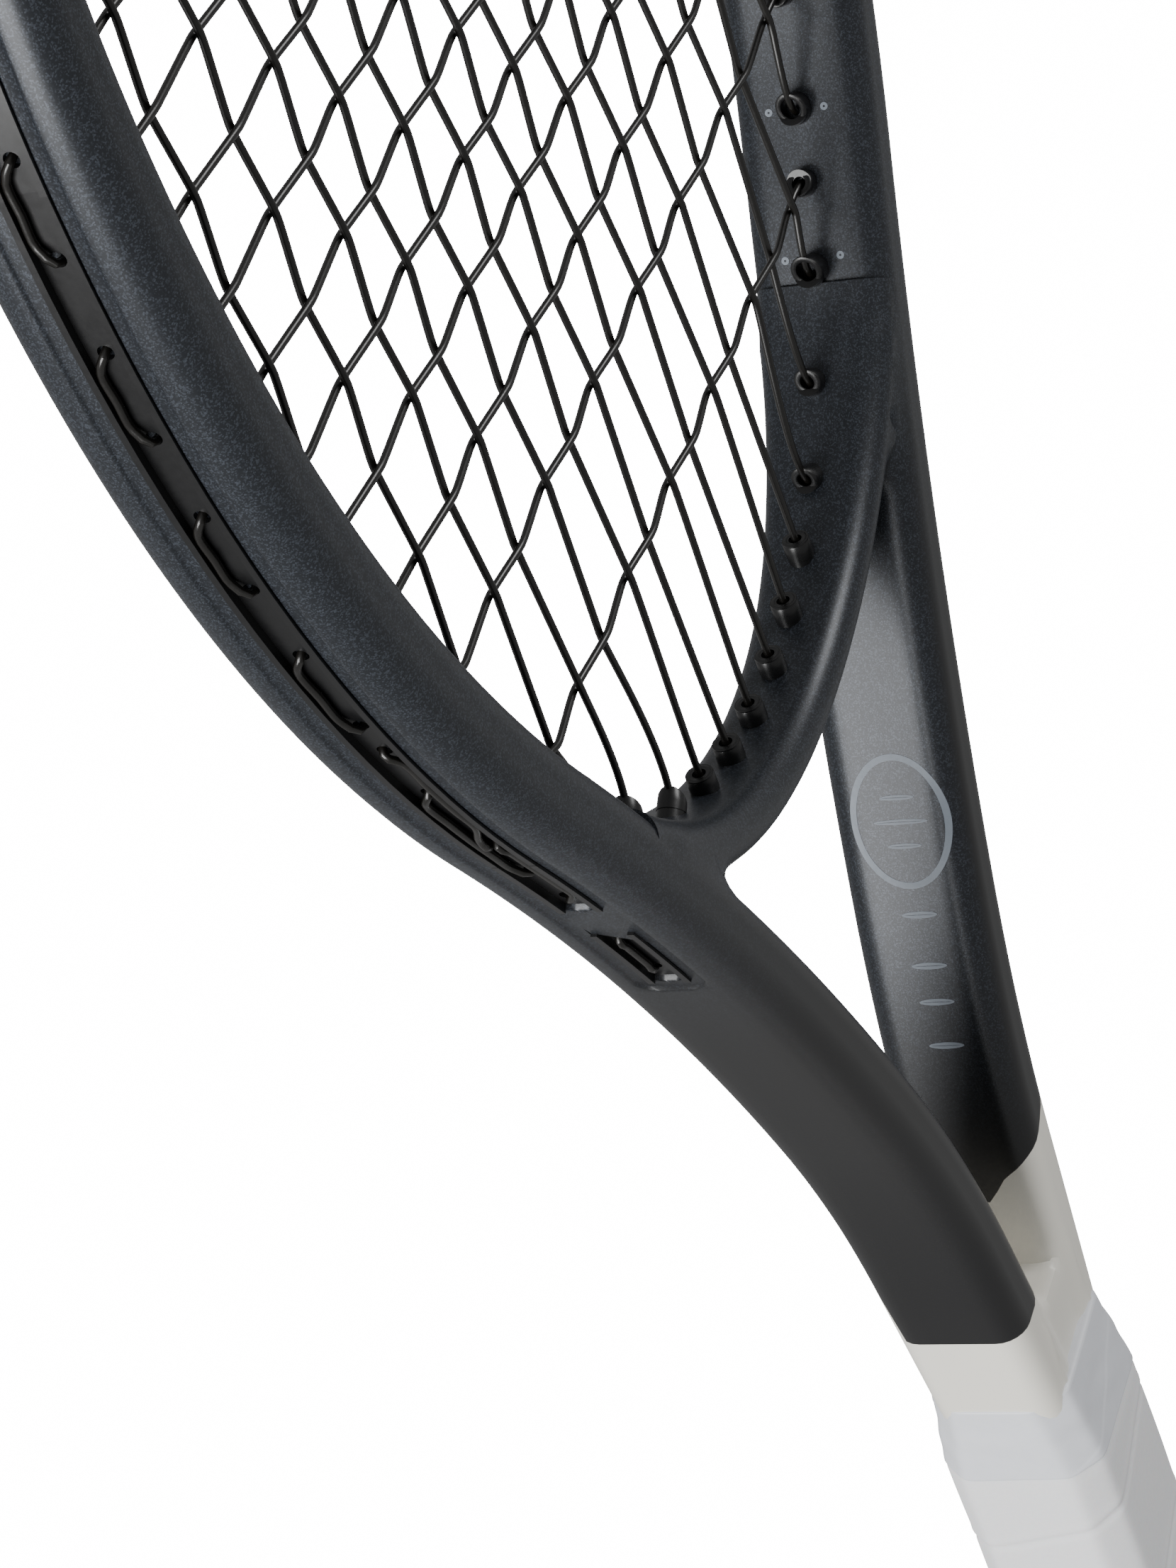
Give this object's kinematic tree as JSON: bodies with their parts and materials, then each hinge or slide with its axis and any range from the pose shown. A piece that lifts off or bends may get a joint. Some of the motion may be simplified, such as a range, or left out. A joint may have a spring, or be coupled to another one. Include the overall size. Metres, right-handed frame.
{
  "type": "tennis racket",
  "caption": "Strung junior tennis racket: hollow tube frame with an open throat, grommet strips, bumper guard, woven string bed, wrapped handle and butt cap.",
  "frame": {"origin": "centre of the flat end of the butt cap", "axes": "+Z along the racket from the butt to the tip, X across the face, the front face looks along -Y"},
  "size_m": [0.2576, 0.0376, 0.66],
  "materials": {
    "frame_lacquer": "satin lacquer with fine metallic flake over carbon composite",
    "white_lacquer": "semi-gloss ivory lacquer",
    "core_foam": "raw polyurethane foam",
    "pallet_foam": "moulded polyurethane, matt",
    "steel": "bright drawn wire",
    "cap_white": "moulded nylon, semi-gloss",
    "grip_white": "polyurethane wrap, soft matt",
    "tape_white": "translucent vinyl tape",
    "guard_black": "moulded nylon, matt",
    "grommet_black": "moulded nylon, glossy",
    "string_black": "extruded co-polyester, glossy"
  },
  "bodies": {
    "root": {"hairpin_tube": "frame_lacquer", "throat_bridge": "frame_lacquer", "bridge_foam": "core_foam", "fork_web": "white_lacquer", "handle_foam": "core_foam", "balance_weights": "steel", "pallet_front": "pallet_foam", "pallet_back": "pallet_foam", "butt_cap": "cap_white", "cap_staples": "steel", "base_grip": "grip_white", "finishing_tape": "tape_white", "bumper_guard": "guard_black", "side_strip_left": "grommet_black", "side_strip_right": "grommet_black", "throat_strip": "grommet_black", "pocket_strip_left": "grommet_black", "pocket_strip_right": "grommet_black", "main_string": "string_black", "cross_string": "string_black", "tie_off_knots": "string_black"}
  },
  "joints": []
}
